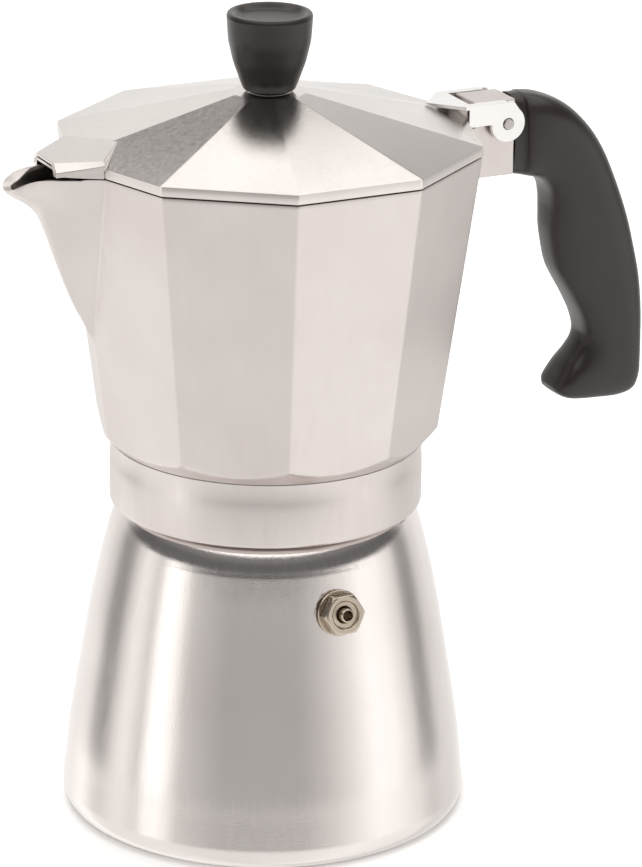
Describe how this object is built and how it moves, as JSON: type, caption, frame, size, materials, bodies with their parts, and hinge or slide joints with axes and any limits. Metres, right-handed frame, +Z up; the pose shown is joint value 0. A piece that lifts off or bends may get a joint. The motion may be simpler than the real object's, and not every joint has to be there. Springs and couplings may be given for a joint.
{
  "type": "moka pot",
  "caption": "Stovetop espresso pot with a round boiler, a ten-sided collector with spout, a hinged lid, a knob and a side handle.",
  "frame": {"origin": "centre of the boiler's flat bottom", "axes": "+Z up along the pot's axis, +X toward the handle, -X toward the spout"},
  "size_m": [0.1786, 0.104, 0.2092],
  "materials": {
    "cast_aluminium": "satin cast and ground",
    "polished_aluminium": "semi-polished, fine upright grain",
    "lid_aluminium": "bright ground facets",
    "sheet_aluminium": "plain sheet",
    "steel": "bright",
    "nickel_brass": "nickel plated",
    "handle_plastic": "satin black-brown",
    "seal_rubber": "smooth off-white silicone"
  },
  "bodies": {
    "boiler": {"boiler": "polished_aluminium", "valve_washer": "nickel_brass", "valve_body": "nickel_brass", "valve_seat": "seal_rubber", "valve_spring": "steel"},
    "valve": {"valve_plunger": "nickel_brass"},
    "funnel": {"funnel_basket": "sheet_aluminium", "funnel_plate": "sheet_aluminium", "funnel_tube": "sheet_aluminium"},
    "seal": {"gasket": "seal_rubber", "filter_plate": "sheet_aluminium"},
    "collector": {"collector": "cast_aluminium", "column_tube": "cast_aluminium", "column_cap": "cast_aluminium", "handle": "handle_plastic", "handle_screw": "steel", "hinge_pin": "steel"},
    "lid": {"lid": "lid_aluminium", "hinge_bracket": "steel", "knob": "handle_plastic", "knob_screw": "steel", "knob_washer": "steel"}
  },
  "joints": [
    {"name": "valve_lift", "type": "slide", "parent": "boiler", "child": "valve", "axis": [0, -0.9801, 0.1987], "range_m": [0, 0.0015], "stiffness_N_per_m": 300, "springref_m": -0.001, "deforming": ["valve_spring"]},
    {"name": "funnel_lift", "type": "slide", "parent": "boiler", "child": "funnel", "axis": [0, 0, 1], "range_m": [0, 0.085]},
    {"name": "thread_lift", "type": "slide", "parent": "funnel", "child": "seal", "axis": [0, 0, 1], "range_m": [0, 0.0106]},
    {"name": "unscrew", "type": "hinge", "parent": "seal", "child": "collector", "pos_m": [0, 0, 0.1], "axis": [0, 0, 1], "range_deg": [0, 1260]},
    {"name": "lid_hinge", "type": "hinge", "parent": "collector", "child": "lid", "pos_m": [0.0634, 0, 0.1754], "axis": [0, 1, 0], "range_deg": [0, 95]}
  ],
  "couplings": [
    {"joint": "thread_lift", "follows": "unscrew", "m_per_rad": 0.00047746}
  ]
}
